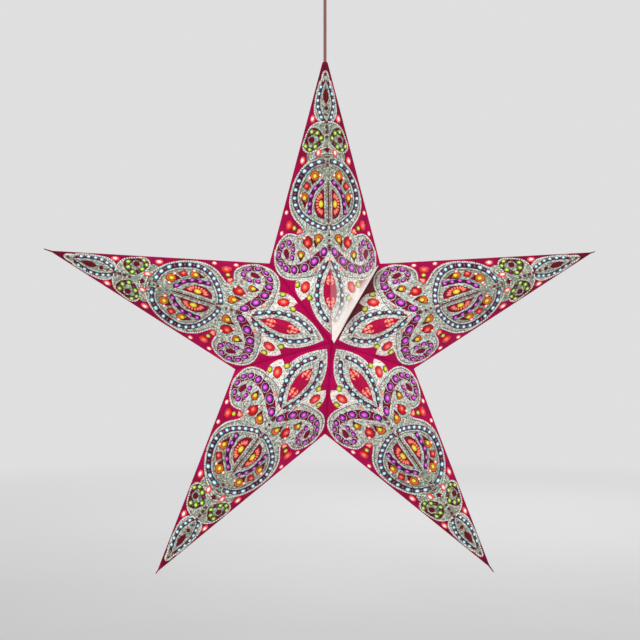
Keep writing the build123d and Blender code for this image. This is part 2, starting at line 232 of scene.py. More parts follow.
DROP_EDGE = [
    (207.6, 2.4), (212, 2.2), (219, 4.6), (224.6, 9.4), (224.4, 14.6), (218, 18.8), (209, 21.8),
    (201, 21.4), (197.8, 17.6), (200, 11), (205, 5), (207, 3),
]
DROP_EYE = [
    corner(207.2, 14.8), (209.4, 12), (213, 12.2), (214.2, 14.6), (212.4, 16.8), (209, 16.8),
]
NECK_TRIANGLE = [corner(196.6, 0), (201, 2.6), corner(203.6, 2.4), corner(203.6, 0)]
LANCET = [
    corner(228, 0), (230.6, 7.4), (237, 11.2), (245, 11.8), (254, 10.4), (264, 7.8), (274, 4.8),
    corner(283.8, 1.8), corner(284.8, 0),
]
LANCET_BEAD_PATH = [
    (230, 2), (234.6, 4.5), (239.8, 6), (246, 7.4), (252.6, 7.4), (259.8, 6.2), (267, 4.3),
    (273, 2.6),
]
LANCET_EYE = [corner(248.4, 0), (253, 2.3), (258, 2.6), (262, 1.7), corner(266, 0)]
LANCET_DOT = [corner(241.6, 0), (244, 2), corner(246.6, 0)]

# Fields by finish: outline and layer
SILVER_FIELDS = [
    (PETAL, UPPER_GROUND),
    (PETAL_INLAY, INLAY),
    (SCROLL, GROUND),
    (MEDALLION, UPPER_GROUND),
    (NECK, CHANNEL),
    (DROP, GROUND),
    (LANCET, UPPER_GROUND),
    (SCROLL_EYE_RING, INLAY),
]
MAROON_FIELDS = [
    (RIDGE_LINE, CHANNEL),
    (DROP_EYE, HEART),
    (NECK_TRIANGLE, INLAY),
    (LANCET_EYE, CHANNEL),
    (LANCET_DOT, CHANNEL),
]
# Half width of the dark ground under the green beads
DROP_GROUND_HALF_WIDTH = 2.6
# Dark ground under the teal beads and the medallion's small gems: path and half width
BEAD_GROUNDS = [
    (MEDALLION_BEAD_PATH[1:-1], 2.5), (LANCET_BEAD_PATH, 1.8), (PETAL_BEAD_PATH, 1.6),
    (MEDALLION_GEM_PATH, 1.9),
]
# Rows of beads with a bright line on either side: path and half width
BEAD_ROWS = [(PETAL_BEAD_PATH, 3.2), (MEDALLION_BEAD_PATH[1:-1], 3.3), (LANCET_BEAD_PATH, 2.6)]
# Outlines that carry a bright line of glitter just inside them
EDGED_OUTLINES = [PETAL, PETAL_INLAY, SCROLL[:-2], MEDALLION[2:], DROP, LANCET]
# Thin shaded lines beside the bright ones: path, and distance to its left (to its right below zero)
SHADED_PATHS = [
    (SCROLL[:-2], -2.3), (MEDALLION[2:], -2.3), (MEDALLION_BEAD_PATH[1:-1], -4.6),
    (PETAL_BEAD_PATH, -4.5),
]
SHADE_HALF_WIDTH = 0.35
# Outlines with a row of tiny beads along their bright line
BEADED_OUTLINES = [PETAL, SCROLL[:-2], MEDALLION[2:], DROP, LANCET]
# Twists of dark thread on either side of the ridge between the sunbursts, set as beads are
RIDGE_TWISTS = [(along, 1.5, 2.8, 0.9, 40) for along in range(125, 167, 3)]


def heading(start, end):
    """Turn of the way from one point to another, in degrees from the arm."""
    return math.degrees(math.atan2(end[1] - start[1], end[0] - start[0]))


def bead_row(path, length, width):
    """Beads at a path's inner points, each turned along the path."""
    steps = zip(path, path[1:], path[2:])
    return [(*place, length, width, heading(before, after)) for before, place, after in steps]


def spacer_row(path, length, width):
    """Dark spacers halfway between a path's points, each turned along the path."""
    spacers = []
    for start, end in zip(path, path[1:]):
        middle = ((start[0] + end[0]) / 2, (start[1] + end[1]) / 2)
        spacers.append((*middle, length, width, heading(start, end)))
    return spacers


# Beads and gems by colour: place along and aside, length, width, and turn from the arm in degrees
TEAL_BEADS = (
    bead_row(PETAL_BEAD_PATH, 7.2, 5.6)
    + bead_row(MEDALLION_BEAD_PATH[:-3], 6, 6)
    + bead_row(MEDALLION_BEAD_PATH[-5:], 7.6, 6.2)
    + bead_row(LANCET_BEAD_PATH, 6, 4.6)
)
SPACERS = (
    spacer_row(PETAL_BEAD_PATH, 4, 4.4)
    + spacer_row(MEDALLION_BEAD_PATH, 3, 5.4)
    + spacer_row(LANCET_BEAD_PATH, 2.4, 3)
    + spacer_row(DROP_BEAD_RING, 3.4, 2.8)
)
SCROLL_GEMS = [
    (93.2, 5, 10.4, 7.2, -14),
    (83.2, 14.2, 11.2, 8.4, -30),
    (76.4, 24, 10.2, 8, -18),
    (74.2, 33.8, 9.6, 6.8, 0),
    (75.6, 42, 8.2, 5.8, 12),
    (80.8, 47, 7.6, 5, 24),
    (90, 48.4, 7.6, 4.8, 4),
    (99.5, 44.8, 7.4, 5, -20),
    (102.8, 38.2, 7, 5.4, 10),
    (95.4, 34.4, 7, 4.4, 0),
    (86.8, 35.6, 6.8, 4.6, 6),
]
PURPLE_GEMS = SCROLL_GEMS + [(a, b, 7, 4.8, -26) for a, b in MEDALLION_GEM_PATH[1:-1]]
RED_GEMS = [
    (56.4, 23.6, 13.6, 8.8, -18),
    (102.2, 20.4, 9.4, 6.4, -12),
    (121, 37.8, 12.4, 7.6, -12),
    (162.2, 20.2, 6.6, 5, -20),
]
YELLOW_BEADS = [
    (89.4, 27, 6.6, 4.6, -6),
    (105.4, 10.1, 6.4, 4.6, -10),
    (172.4, 11.9, 6.6, 4.8, -14),
    (149.6, 22.4, 6.6, 4.4, -6),
    (143, 6.8, 10, 5.4, 0),
]
LIME_BEADS = [(58.8, 31, 7.6, 5.2, -20), (45.4, 19.8, 7.4, 5.6, 10), (118, 32.8, 6, 4.4, -10)]
GREEN_BEADS = [
    (219.6, 14, 7.2, 5.4, -20),
    (218, 8.7, 7.2, 5.4, -24),
    (212.4, 5.2, 7.2, 5.4, -24),
    (203.6, 11, 7.2, 5.4, -20),
    (200.6, 16.4, 6, 5.2, 20),
    (204.6, 20.2, 7, 5, 10),
]
# Small petals of the two blooms in the petal's eye, and the rays round the sunburst's seed
BLOOM_PETALS = [
    (37.8, 1.2, 5.4, 2.6, 14),
    (41.4, 2.2, 5, 2.8, 50),
    (44.4, 2.4, 4.6, 2.4, -30),
    (41, 0.8, 5, 2, 0),
    (60.6, 2, 4.8, 2.4, 30),
    (63.6, 1.8, 5, 2.6, -60),
    (66.8, 1.4, 5, 2.4, -16),
    (63.6, 0.8, 5, 2, 0),
]
SUN_RAYS = [
    (
        SUNBURST_HEART[0] + 8.8 * math.cos(math.radians(turn)),
        SUNBURST_HEART[1] + 4.9 * math.sin(math.radians(turn)),
        7.0 - 3.6 * math.sin(math.radians(turn)),
        2.7,
        turn,
    )
    for turn in range(10, 180, 20)
]
SALMON_GEMS = [
    (115, 27.8, 5.8, 4.6, 30),
    (113.6, 29.2, 4, 3, -40),
    (75.6, 12.8, 4.6, 2.4, -40),
    *BLOOM_PETALS,
]
WHITE_LIGHTS = [
    (112.6, 45.2, 6.4, 3.8, -12),
    (134.6, 40.2, 6, 3.8, -10),
    (107.6, 23.4, 4.2, 3.2, 0),
    (96.2, 17.4, 4, 2.8, 0),
    (170.6, 17.2, 4.6, 3, -20),
    (173.4, 6.6, 4.8, 3, 10),
    (152.2, 26, 4.6, 3, 0),
    (85.4, 0.4, 3.4, 2.4, 0),
]
ROSE_LIGHTS = [(189.4, 23.6, 10, 5.6, -12), (233.4, 12.9, 9.6, 5.4, -10), (197, 8, 10, 5.4, -8)]
DARK_DOTS = [
    (95.6, 0.4, 2.4, 1.8, 0), (105, 0.4, 2.6, 1.8, 0), (110.5, 0.4, 2.2, 1.6, 0),
    (219, 0.4, 4, 2, 0), (224.5, 0.4, 4, 2, 0), (272.6, 1, 4.4, 1.6, -4), (280, 0.4, 3.6, 1.2, 0),
    (120.8, 1.2, 2.2, 2.2, 0), (183.6, 0.4, 3.4, 1.8, 0), (187.8, 0.4, 1.8, 1.4, 0),
    (192.4, 1, 1.8, 4, 0), (213.6, 0.4, 3, 2, 0), (229.4, 0.4, 3, 2, 0), (98.6, 0.6, 4.4, 3, 0),
    (237, 0.5, 2.6, 1.6, 0),
]

# Kinds of beads: name, places, tones of rim, body and heart, painted glow, and where the rim and
# the body end
BEAD_KINDS = [
    ("teal_beads", TEAL_BEADS, ((4, 26, 38), (46, 134, 156), (240, 252, 255)), 0.2, 0.28, 0.7),
    ("purple_gems", PURPLE_GEMS, ((26, 0, 32), (174, 16, 172), (220, 72, 214)), 0.28, 0.42, 0.74),
    ("red_gems", RED_GEMS, ((150, 6, 20), (228, 26, 30), (246, 100, 76)), 0.25, 0.16, 0.7),
    ("yellow_beads", YELLOW_BEADS, ((84, 52, 6), (226, 196, 10), (242, 220, 20)), 0.25, 0.26, 0.66),
    ("lime_beads", LIME_BEADS, ((58, 60, 2), (186, 190, 16), (226, 230, 64)), 0.25, 0.24, 0.7),
    ("green_beads", GREEN_BEADS, ((18, 34, 2), (96, 152, 14), (224, 242, 84)), 0.25, 0.3, 0.76),
    ("salmon_gems", SALMON_GEMS, ((226, 70, 56), (242, 108, 84), (255, 176, 150)), 0.25, 0.1, 0.66),
    ("white_lights", WHITE_LIGHTS, ((200, 44, 56), (246, 128, 112), (255, 252, 246)), 0.3, 0.1, 0.58),
    ("rose_lights", ROSE_LIGHTS, ((176, 16, 48), (238, 84, 86), (255, 240, 232)), 0.3, 0.1, 0.7),
    ("spacers", SPACERS, ((40, 6, 34), (94, 10, 62), (132, 22, 86)), 0.1, 0.1, 0.66),
    ("sun_rays", SUN_RAYS, ((200, 52, 44), (238, 100, 70), (246, 128, 92)), 0.25, 0.1, 0.6),
    ("dark_dots", DARK_DOTS, ((84, 6, 30), (100, 10, 38), (120, 20, 48)), 0.1, 0.1, 0.66),
]
EDGE_BEAD_TONES = ((150, 150, 140), (230, 234, 224), (252, 253, 248))
TWIST_TONES = ((74, 58, 56), (96, 80, 76), (120, 104, 96))
# Share of a bead's width that its shoulder takes, and how much whiter its very middle is than its heart:
# a painted glint
SHOULDER = 0.62
GLINT_SHARE = 0.3
# Glitter: grains in a metre, greys of the grains along their chance, and the tones of a few of them: a
# pink blush, and painted sparkle near and far from the lamp
GRAINS_A_METRE = 600.0
GRAIN_GREYS = ((0.0, 0.17), (0.2, 0.52), (0.55, 0.82), (0.85, 1.0))
BLUSH_TONE = (196, 92, 100)
SPARK_TONE = (250, 255, 248)
FAR_SPARK_TONE = (208, 216, 196)

# The loose corner of the top arm's right-hand front facet, in the same millimetres as the ornament: its
# fold, where its tip stands and how far before the star's front point, and its foot on the ridge
FLAP_FOLD = ((45.0, 0.0), (78.2, 56.2))
FLAP_CORNER = (-0.5, 1.8)
FLAP_LIFT = 5.0
FLAP_FOOT = (3.2, 0.0)
# Skins of colour on the loose corner and in its shade: low and high face above the paper
FLAP_SKIN = (0.01, 0.05)
SHADE_SKIN = (0.005, 0.04)
# The lamp's light is painted as a white highlight that washes the print out beside the loose edge. At
# each place along the seam: where it is quite white, in from the edge, and where the wash ends
WASH_STEPS = ((0.0, 7.5, 21.0), (30.0, 4.5, 16.0), (60.0, 2.5, 11.0), (84.0, 0.5, 4.0))
# A faint veil of the same painted light lies over the rest of that facet: its share, where it ends along
# the arm and over what run
WASH_VEIL = 0.13
VEIL_END = 100.0
VEIL_RUN = 45.0
# Cuts that carry the wash: in from the seam and along the arm
WASH_CUTS_IN = (2.0, 4.0, 7.0, 10.0, 13.0, 17.0)
WASH_CUTS_ALONG = (15.0, 30.0, 45.0, 60.0, 75.0)
# Shade beside the loose corner on the right arm: along the seam and in from it
SHADE_RING = [(3, 0), (97, 0), (92, 4.5), (68, 13), (40, 12.5), (14, 5.5)]
# The same shade on that arm's print, in metres: start, end, and the share at each
SHADE_ON_FRONT = (-0.012, -0.004, 1.0, 0.0)
SHADE_ACROSS = ((0.0, 0.0005, 0.0, 1.0), (0.002, 0.016, 0.72, 0.0))
SHADE_ALONG = ((0.014, 0.03, 0.0, 1.0), (0.085, 0.1, 1.0, 0.6))
# Tones of the painted highlight of the lamp's light on the loose corner, and of the painted shade beside
# it
LAMP_GLARE_TONE = (240, 232, 226)
SHADE_TONE = (64, 22, 26)
# Height of the bulb's brass cap, in metres
BULB_CAP_HEIGHT = 0.021


class StarSizes(bpy.types.PropertyGroup):
    """Sizes of the star that the ornament follows."""

    tip_radius: FloatProperty(
        name="Tip radius",
        description="Middle of the star to the tip of an arm",
        default=0.300,
        unit="LENGTH",
    )
    notch_radius: FloatProperty(
        name="Notch radius",
        description="Middle of the star to the notch between two arms",
        default=NOTCH_RADIUS,
        unit="LENGTH",
    )
    half_depth: FloatProperty(
        name="Half depth",
        description="Middle of the star to its front point",
        default=HALF_DEPTH,
        unit="LENGTH",
    )
    cord_diameter: FloatProperty(
        name="Cord diameter", description="Over the textile sleeve", default=0.0032, unit="LENGTH"
    )


class StarColours(bpy.types.PropertyGroup):
    """Colours of the paper, the ornament and the cord."""

    # Paper lit by painted lamp light near the middle, and painted dimmer towards the tips
    paper: FloatVectorProperty(
        name="Paper", description="Lit paper near the middle", default=paint(186, 6, 84), subtype="COLOR"
    )
    paper_tip: FloatVectorProperty(
        name="Paper tip", description="Paper towards the tips", default=paint(112, 4, 38), subtype="COLOR"
    )
    # Glitter lit by painted lamp light near the middle, and painted dimmer towards the tips
    silver: FloatVectorProperty(
        name="Silver",
        description="Glitter near the middle",
        default=paint(218, 228, 216),
        subtype="COLOR",
    )
    silver_tip: FloatVectorProperty(
        name="Silver tip",
        description="Glitter towards the tips",
        default=paint(152, 168, 150),
        subtype="COLOR",
    )
    silver_gap: FloatVectorProperty(
        name="Silver gaps",
        description="Between the grains of glitter",
        default=paint(98, 84, 82),
        subtype="COLOR",
    )
    crimson: FloatVectorProperty(
        name="Crimson", description="Ground under the gems", default=paint(138, 8, 56), subtype="COLOR"
    )
    maroon: FloatVectorProperty(
        name="Maroon", description="Dark eyes and lines", default=paint(112, 4, 34), subtype="COLOR"
    )
    cord: FloatVectorProperty(
        name="Cord",
        description="Textile sleeve of the cord",
        default=paint(168, 112, 104),
        subtype="COLOR",
    )


class StarStage(bpy.types.PropertyGroup):
    """The camera and the floor."""

    distance: FloatProperty(
        name="Camera distance", description="From the middle of the star", default=1.3, unit="LENGTH"
    )
    azimuth: FloatProperty(
        name="Camera azimuth",
        description="Round the star from its front",
        default=math.radians(-3.75),
        subtype="ANGLE",
    )
    elevation: FloatProperty(
        name="Camera elevation",
        description="Above the star's middle",
        default=math.radians(1.5),
        subtype="ANGLE",
    )
    pixels_per_metre: FloatProperty(
        name="Image scale", description="Pixels for a metre at the star's middle", default=952.3
    )
    middle_column: FloatProperty(
        name="Middle column", description="Pixel column of the star's middle", default=325.0
    )
    middle_row: FloatProperty(
        name="Middle row", description="Pixel row of the star's middle", default=339.9
    )
    floor_gap: FloatProperty(
        name="Floor gap", description="Room under the lowest tip", default=0.25, unit="LENGTH"
    )


# Small tools
def deselect_all():
    """Leaves object mode with nothing selected."""
    if bpy.context.object and bpy.context.object.mode != "OBJECT":
        bpy.ops.object.mode_set(mode="OBJECT")
    bpy.ops.object.select_all(action="DESELECT")


def make_active(piece):
    """Selects one object alone and makes it the active one."""
    deselect_all()
    piece.select_set(True)
    bpy.context.view_layer.objects.active = piece


def join_pieces(pieces, name):
    """Joins objects into one with the name given."""
    deselect_all()
    for piece in pieces:
        piece.select_set(True)
    bpy.context.view_layer.objects.active = pieces[0]
    if len(pieces) > 1:
        bpy.ops.object.join()
    joined = bpy.context.view_layer.objects.active
    joined.name = name
    joined.data.name = name
    return joined


def new_object(name, data):
    """A new object in the scene."""
    piece = bpy.data.objects.new(name, data)
    bpy.context.scene.collection.objects.link(piece)
    return piece


def give_material(piece, material):
    """Gives an object one material alone."""
    piece.data.materials.clear()
    piece.data.materials.append(material)


def finish_piece(piece, material):
    """Gives a piece its material and its body."""
    give_material(piece, material)
    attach(piece, "root")


# Materials
def dimmed(colour, share):
    """A share of a colour's brightness."""
    return tuple(share * channel for channel in colour)


class Finish:
    """A node material being put together."""

    def __init__(self, name):
        self.material = bpy.data.materials.new(name)
        self.material.use_nodes = True
        self.tree = self.material.node_tree
        self.shader = self.tree.nodes["Principled BSDF"]
        self.place = self.add("ShaderNodeTexCoord").outputs["Object"]

    def feed(self, socket, value):
        """Links another node's output to an input, or sets the input to a plain value."""
        if isinstance(value, bpy.types.NodeSocket):
            self.tree.links.new(value, socket)
        else:
            socket.default_value = value

    def add(self, kind, **settings):
        """A node, with its own settings by name and its inputs by label in a dict called inputs."""
        inputs = settings.pop("inputs", {})
        node = self.tree.nodes.new(kind)
        for key, value in settings.items():
            setattr(node, key, value)
        for key, value in inputs.items():
            self.feed(node.inputs[key], value)
        return node

    def set(self, **values):
        """Sets or links the shader's inputs; underscores in the names stand for spaces."""
        for key, value in values.items():
            self.feed(self.shader.inputs[key.replace("_", " ")], value)

    def number(self, operation, first, second):
        """Two numbers put through a math node."""
        node = self.add("ShaderNodeMath", operation=operation, inputs={0: first, 1: second})
        return node.outputs["Value"]

    def vector(self, operation, first, second=(0.0, 0.0, 0.0), output="Value"):
        """One or two vectors put through a vector math node."""
        node = self.add("ShaderNodeVectorMath", operation=operation, inputs={0: first, 1: second})
        return node.outputs[output]

    def parts(self):
        """The place's X, Y and Z."""
        return self.add("ShaderNodeSeparateXYZ", inputs={"Vector": self.place}).outputs

    def noise(self, scale, detail=3.0, vector=None):
        """A noise factor, with its scale in cells a metre."""
        inputs = {"Scale": scale, "Detail": detail, "Vector": vector or self.place}
        return self.add("ShaderNodeTexNoise", inputs=inputs).outputs["Fac"]

    def ramp(self, factor, stops):
        """Colours along a factor, as (place, colour) pairs."""
        node = self.add("ShaderNodeValToRGB", inputs={"Fac": factor})
        elements = node.color_ramp.elements
        while len(elements) < len(stops):
            elements.new(0.5)
        for element, (place, colour) in zip(elements, stops):
            element.position = place
            element.color = (*colour[:3], 1.0)
        return node.outputs["Color"]

    def mix(self, factor, first, second, blend="MIX"):
        """Two colours mixed."""
        node = self.add("ShaderNodeMix", data_type="RGBA", blend_type=blend)
        self.feed([s for s in node.inputs if s.name == "Factor"][0], factor)
        for key, colour in (("A", first), ("B", second)):
            socket = [s for s in node.inputs if s.name == key and s.type == "RGBA"][0]
            plain = not isinstance(colour, bpy.types.NodeSocket)
            self.feed(socket, (*colour[:3], 1.0) if plain else colour)
        return [s for s in node.outputs if s.type == "RGBA"][0]

    def span(self, value, start, end, low=0.0, high=1.0):
        """A value carried from one range to another, and kept in it."""
        node = self.add(
            "ShaderNodeMapRange",
            inputs={"Value": value, "From Min": start, "From Max": end, "To Min": low, "To Max": high},
        )
        return node.outputs["Result"]

    def glow(self, near=0.06, far=0.30):
        """Painted light of the lamp inside: 1 near the star's middle, falling to 0 at the tips."""
        return self.span(self.vector("DISTANCE", self.place, STAR_MIDDLE), near, far, 1.0, 0.0)

    def seam(self):
        """Distance from the nearest of the five glued seams, as seen from the front; metres."""
        parts = self.parts()
        rise = self.number("SUBTRACT", parts["Z"], STAR_MIDDLE_Z)
        turn = self.number("ARCTAN2", rise, parts["X"])
        first = math.radians(ARM_BEARINGS["top"]) + HALF_STEP
        apart = self.number("PINGPONG", self.number("SUBTRACT", turn, first), HALF_STEP)
        run = self.add("ShaderNodeCombineXYZ", inputs={"X": parts["X"], "Z": rise}).outputs["Vector"]
        return self.number("MULTIPLY", apart, self.vector("LENGTH", run))

    def corner_shade(self):
        """Shade of the loose corner on the front of the arm beside it, deepest at the seam."""
        turn = math.radians(ARM_BEARINGS["right"]) + HALF_STEP
        across = (math.sin(turn), 0.0, -math.cos(turn))
        along = (math.cos(turn), 0.0, math.sin(turn))
        shade = self.span(self.parts()["Y"], *SHADE_ON_FRONT)
        offset = self.vector("SUBTRACT", self.place, STAR_MIDDLE, "Vector")
        for direction, spans in ((across, SHADE_ACROSS), (along, SHADE_ALONG)):
            reach = self.vector("DOT_PRODUCT", offset, direction)
            for span in spans:
                shade = self.number("MULTIPLY", shade, self.span(reach, *span))
        return shade

    def paint_print_and_light(self, colour, roughness, shine, emission):
        """Sets the colour of the print, with a painted glow as if lit through by the lamp.

        It fades to white in a painted highlight where the loose corner catches the light, and darkens in
        that corner's painted shade."""
        wash = self.add("ShaderNodeAttribute", attribute_name="wash").outputs["Fac"]
        lamp_glared = self.mix(wash, colour, paint(*LAMP_GLARE_TONE))
        shaded = self.mix(self.corner_shade(), lamp_glared, paint(*SHADE_TONE))
        self.set(Base_Color=shaded, Roughness=roughness, Specular_IOR_Level=shine)
        self.set(Emission_Color=shaded, Emission_Strength=emission)

    def bump(self, height, distance, strength):
        """Puts a height on the shader's normal."""
        inputs = {"Height": height, "Distance": distance, "Strength": strength}
        self.set(Normal=self.add("ShaderNodeBump", inputs=inputs).outputs["Normal"])


def paper_finish(colours):
    """Magenta paper with fine fibres, painted brighter and glowing near the lamp, and painted shade that
    darkens it along the glued seams.
    """
    finish = Finish("magenta_paper")
    glow = finish.glow()
    fibres = finish.noise(420.0, 6.0)
    folds = finish.noise(45.0)
    lit = finish.mix(glow, colours.paper_tip, colours.paper)
    mottled = finish.mix(finish.span(fibres, 0.3, 0.7, 0.0, 0.3), lit, paint(96, 0, 40))
    brighter = finish.mix(finish.span(folds, 0.45, 0.7, 0.0, 0.5), mottled, paint(206, 0, 98))
    # Painted shade along the glued seams
    painted_seam_shade = finish.span(finish.seam(), 0.0003, 0.0016, 0.42, 0.0)
    shaded = finish.mix(painted_seam_shade, brighter, paint(112, 0, 46))
    finish.set(Base_Color=shaded, Roughness=0.75, Specular_IOR_Level=0.1, Emission_Color=shaded)
    finish.set(Emission_Strength=finish.span(glow, 0.0, 1.0, 0.05, 0.3))
    finish.bump(fibres, 0.0003, 0.25)
    return finish.material


def print_finish(name, colour, emission):
    """Printed colour on the paper, a little uneven, with a painted glow as if lit through."""
    finish = Finish(name)
    patches = finish.span(finish.noise(650.0), 0.35, 0.65)
    finish.paint_print_and_light(finish.mix(patches, dimmed(colour, 0.6), colour), 0.7, 0.15, emission)
    return finish.material


def silver_finish(name, near, far, gap, emission):
    """Glitter: small pale grains, some dark, with darker gaps between them, painted whiter near the lamp
    and dimmer towards the tips, a few grains painted bright as sparkle, and a painted glow.
    """
    finish = Finish(name)
    inputs = {"Vector": finish.place, "Scale": GRAINS_A_METRE}
    grains = finish.add("ShaderNodeTexVoronoi", inputs=inputs).outputs
    chance = finish.add("ShaderNodeSeparateColor", inputs={"Color": grains["Color"]}).outputs
    greys = finish.ramp(chance[0], [(place, (grey,) * 3) for place, grey in GRAIN_GREYS])
    lit = finish.glow(0.07, 0.17)
    tone = finish.mix(1.0, finish.mix(lit, far, near), greys, "MULTIPLY")
    blushed = finish.mix(finish.span(chance[1], 0.84, 0.9, 0.0, 0.5), tone, paint(*BLUSH_TONE))
    gaps = finish.span(grains["Distance"], 0.5, 0.8, 0.0, 0.65)
    parted = finish.mix(gaps, blushed, finish.mix(lit, dimmed(gap, 0.5), gap))
    # A few grains painted bright as sparkle, dimmer far from the lamp
    painted_sparkle = finish.span(chance[2], 0.8, 0.86, 0.0, 0.8)
    bright = finish.mix(lit, paint(*FAR_SPARK_TONE), paint(*SPARK_TONE))
    finish.paint_print_and_light(finish.mix(painted_sparkle, parted, bright), 0.55, 0.25, emission)
    finish.bump(grains["Distance"], 0.0004, 0.4)
    return finish.material


def gem_finish(name, tones, emission, edge, core):
    """A bead painted as lit through by the lamp: dark rim, coloured body and bright heart, by the
    distance from its rim, with a whiter painted glint at its middle and a painted glow.
    """
    finish = Finish(name)
    rim, body, heart = [paint(*tone) for tone in tones]
    dome = finish.add("ShaderNodeAttribute", attribute_name="dome").outputs["Fac"]
    uneven = finish.span(finish.noise(800.0, 2.0), 0.3, 0.7, -0.06, 0.06)
    # A painted glint at the very middle, whiter than the heart
    glint = tuple(channel + (1.0 - channel) * GLINT_SHARE for channel in heart)
    stops = [(edge, rim), (edge + 0.2, body), (core, body), (core + 0.3, heart)]
    stops = [(SHOULDER * place, tone) for place, tone in stops] + [(1.0, glint)]
    finish.paint_print_and_light(finish.ramp(finish.number("ADD", dome, uneven), stops), 0.3, 0.25, emission)
    return finish.material


def cord_finish(colours):
    """Braided sleeve: two sets of strands crossing along the cord."""
    finish = Finish("cord_sleeve")
    strands = []
    for turn in (0.9, -0.9):
        inputs = {"Vector": finish.place, "Rotation": (turn, turn, 0.0)}
        turned = finish.add("ShaderNodeMapping", inputs=inputs).outputs["Vector"]
        inputs = {"Vector": turned, "Scale": 260.0, "Distortion": 0.6}
        strands.append(finish.add("ShaderNodeTexWave", inputs=inputs).outputs["Fac"])
    weave = finish.number("MULTIPLY", *strands)
    colour = finish.mix(finish.span(weave, 0.0, 0.5), dimmed(colours.cord, 0.6), colours.cord)
    finish.set(Base_Color=colour, Roughness=0.8)
    finish.bump(weave, 0.0004, 0.6)
    return finish.material


def moulded_finish(name, colour, roughness, grain):
    """Plastic, ceramic or enamel with a faint uneven tone and a fine skin."""
    finish = Finish(name)
    cloud = finish.span(finish.noise(40.0), 0.3, 0.7)
    finish.set(Base_Color=finish.mix(cloud, dimmed(colour, 0.82), colour), Roughness=roughness)
    finish.bump(finish.noise(grain), 0.0002, 0.15)
    return finish.material


def metal_finish(name, colour, roughness):
    """Plain metal with drawing marks."""
    finish = Finish(name)
    inputs = {"Vector": finish.place, "Scale": (1.0, 1.0, 0.08)}
    drawn = finish.add("ShaderNodeMapping", inputs=inputs).outputs["Vector"]
    marks = finish.noise(1800.0, vector=drawn)
    tone = finish.mix(finish.span(marks, 0.3, 0.7), dimmed(colour, 0.7), colour)
    finish.set(Base_Color=tone, Metallic=1.0)
    finish.set(Roughness=finish.span(marks, 0.3, 0.7, roughness - 0.08, roughness + 0.1))
    return finish.material


def bulb_finish():
    """Frosted bulb that glows, with a brass cap above its neck."""
    finish = Finish("frosted_bulb")
    cap_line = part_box("bulb")[1].z - BULB_CAP_HEIGHT
    on_cap = finish.span(finish.parts()["Z"], cap_line - 0.0005, cap_line + 0.0005)
    frost = finish.noise(700.0)
    glass = finish.mix(finish.span(frost, 0.3, 0.7), (0.95, 0.86, 0.70), (1.0, 0.94, 0.82))
    light = finish.mix(on_cap, (1.0, 0.85, 0.62), (0.0, 0.0, 0.0))
    finish.set(Base_Color=finish.mix(on_cap, glass, (0.60, 0.45, 0.20)), Roughness=0.4)
    finish.set(Emission_Color=light, Emission_Strength=0.6)
    finish.bump(frost, 0.0002, 0.2)
    return finish.material


# Pieces of the ornament, drawn flat on half an arm's face
def outline_curve(outline):
    """A flat filled curve through the outline's points, in metres."""
    deselect_all()
    bpy.ops.curve.primitive_bezier_circle_add()
    drawing = bpy.context.object
    curve = drawing.data
    curve.dimensions = "2D"
    curve.fill_mode = "BOTH"
    curve.resolution_u = 4
    curve.splines.clear()
    spline = curve.splines.new("BEZIER")
    spline.bezier_points.add(len(outline) - 1)
    spline.use_cyclic_u = True
    for knot, point in zip(spline.bezier_points, outline):
        knot.co = (point[0] * MM, point[1] * MM, 0.0)
        kind = "VECTOR" if len(point) > 2 else "AUTO"
        knot.handle_left_type = kind
        knot.handle_right_type = kind
    return drawing


def printed_field(outline, layer):
    """A field of colour: the filled outline as a thin closed slab between the layer's heights.

    Points on the ridge go a little past it, so that the fields of two facets meet there."""
    low, high = layer
    past_ridge = -RIDGE_MITRE * high
    drawing = outline_curve([(p[0], p[1] if p[1] > 0 else past_ridge, *p[2:]) for p in outline])
    drawing.data.extrude = (high - low) / 2 * MM
    bpy.ops.object.convert(target="MESH")
    field = bpy.context.object
    bpy.ops.object.mode_set(mode="EDIT")
    bpy.ops.mesh.select_all(action="SELECT")
    bpy.ops.mesh.remove_doubles(threshold=0.00001)
    bpy.ops.mesh.normals_make_consistent(inside=False)
    bpy.ops.transform.translate(value=(0.0, 0.0, (high + low) / 2 * MM))
    bpy.ops.object.mode_set(mode="OBJECT")
    return field


def beside(path, offsets):
    """A path moved sideways by an offset at each point, to its left where the offset is positive."""
    moved = []
    for index, (point, offset) in enumerate(zip(path, offsets)):
        before = Vector(path[max(index - 1, 0)][:2])
        after = Vector(path[min(index + 1, len(path) - 1)][:2])
        run = (after - before).normalized()
        moved.append(tuple(Vector(point[:2]) + Vector((-run.y, run.x)) * offset))
    return moved


def shifted(path, offset):
    """A path moved sideways by one offset all along."""
    return beside(path, [offset] * len(path))


def ribbon(path, half_widths):
    """Outline of a band along a path, with half its width given at each point."""
    left = beside(path, half_widths)
    right = beside(path, [-half_width for half_width in half_widths])
    left = [(a, max(b, 0.0)) for a, b in left]
    right = [(a, max(b, 0.0)) for a, b in reversed(right)]
    sides = [[corner(*side[0]), *side[1:-1], corner(*side[-1])] for side in (left, right)]
    return sides[0] + sides[1]


def band(path, half_width):
    """Outline of a band of one width along a path."""
    return ribbon(path, [half_width] * len(path))


def glitter_line(path, offset):
    """Outline of a bright line beside a path, at one offset."""
    return band(shifted(path, offset), LINE_HALF_WIDTH)


